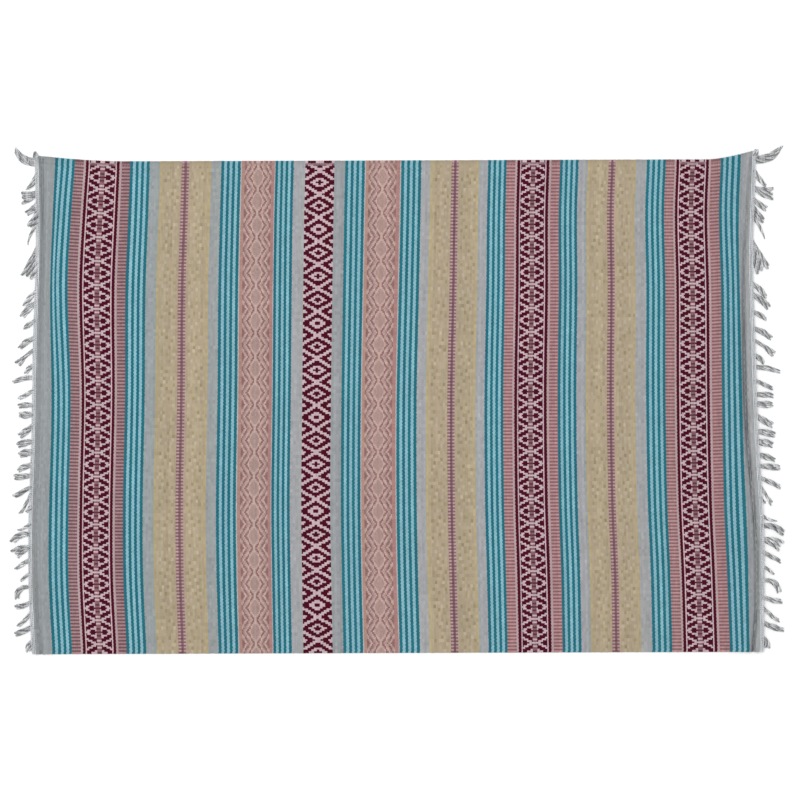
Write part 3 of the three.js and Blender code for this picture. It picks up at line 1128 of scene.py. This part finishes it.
def tassel_knot(lines, tassel, outward, draw):
    """The coil of yarn that ties a tassel's neck."""
    t = np.linspace(KNOT_FROM, KNOT_AT, KNOT_STEPS)
    points, heading, _ = tassel_path(tassel, outward, t)
    normal = np.stack((-heading[:, 1], heading[:, 0]), axis=-1)
    wide = np.maximum(tassel_width(tassel, t) * KNOT_SWELL / 2 - KNOT_YARN_RADIUS, KNOT_YARN_RADIUS)
    angle = math.tau * np.linspace(0, KNOT_TURNS, KNOT_STEPS)
    swing = wide * np.cos(angle)
    tall = KNOT_CENTRE_HEIGHT - KNOT_YARN_RADIUS - FLOOR_CLEARANCE
    places = to_frame(
        points[:, 0] + normal[:, 0] * swing,
        points[:, 1] + normal[:, 1] * swing,
        KNOT_CENTRE_HEIGHT + tall * np.sin(angle),
    )
    lines.add(places, KNOT_YARN_RADIUS, linear_light(TASSEL_SHADE) * draw.normal(1, SHADE_VARIATION))


def fringe(name, outward, tree, finish):
    draw = np.random.default_rng(SEED + outward)
    strip = YarnLines()
    cord_strip(strip, outward)
    tassels = YarnLines()
    for row in TASSELS:
        tassel = dict(zip(TASSEL_COLUMNS, row))
        tassel_knot(tassels, tassel, outward, draw)
        for number in range(tassel["yarns"]):
            tassel_yarn(tassels, tassel, outward, number, draw)
    pieces = []
    for part, lines in (("corded_strip", strip), ("tassels", tassels)):
        piece_name = name + "_" + part
        values = {"Sides": YARN_SIDES, "Yarn": finish}
        piece = grow(piece_name, lines.mesh(piece_name), tree, values, ("girth",))
        map_from_above(piece.data)
        pieces.append(piece)
    return pieces


# Floor, light and camera


def floor():
    half = FLOOR_SIZE / 2
    mesh = bpy.data.meshes.new("floor")
    corners = ((-half, -half, 0), (half, -half, 0), (half, half, 0), (-half, half, 0))
    mesh.from_pydata(corners, [], ((0, 1, 2, 3),))
    mesh.materials.append(pale_floor())
    return show("floor", mesh)


def studio_light():
    world = bpy.data.worlds.new("soft_room")
    world.use_nodes = True
    world.node_tree.nodes["Background"].inputs["Color"].default_value = (1, 1, 1, 1)
    world.node_tree.nodes["Background"].inputs["Strength"].default_value = SKY_STRENGTH
    scene = bpy.context.scene
    scene.world = world
    lamp = bpy.data.lights.new("key", "AREA")
    lamp.shape = "DISK"
    lamp.size = KEY_SIZE
    lamp.energy = KEY_POWER
    key = bpy.data.objects.new("key", lamp)
    key.location = KEY_PLACE
    toward_rug = -np.array(KEY_PLACE)
    across = math.hypot(toward_rug[0], toward_rug[1])
    key.rotation_euler = (math.atan2(across, -toward_rug[2]), 0, math.atan2(-toward_rug[0], toward_rug[1]))
    scene.collection.objects.link(key)
    scene.view_settings.view_transform = "Standard"


def camera():
    lens = bpy.data.cameras.new("from_above")
    lens.lens = LENS
    lens.sensor_width = SENSOR
    eye = bpy.data.objects.new("from_above", lens)
    eye.location = (AIM_X, AIM_Y, VIEW_WIDTH * LENS / SENSOR)
    bpy.context.scene.collection.objects.link(eye)
    bpy.context.scene.camera = eye


camera()
studio_light()
floor_piece = floor()

pick_edges, pick_names, pick_dyes = lay_picks()
float_colours = dye_colours(pick_dyes)
weft_finish = dyed_weft()
warp_finish = undyed_warp()

sheet = rug_sheet(pick_edges, float_colours.mean(axis=1), weft_finish)
wefts = weft_pieces(pick_edges, pick_names, float_colours, weft_finish)
swept = yarn_tree()
left_pieces = fringe("left", -1, swept, warp_finish)
right_pieces = fringe("right", 1, swept, warp_finish)

for piece in (sheet, *wefts):
    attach(piece, "root")
    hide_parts("rug_cloth")
for node, pieces in (("fringe_left", left_pieces), ("fringe_right", right_pieces)):
    for piece in pieces:
        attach(piece, "root")
        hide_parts(node)
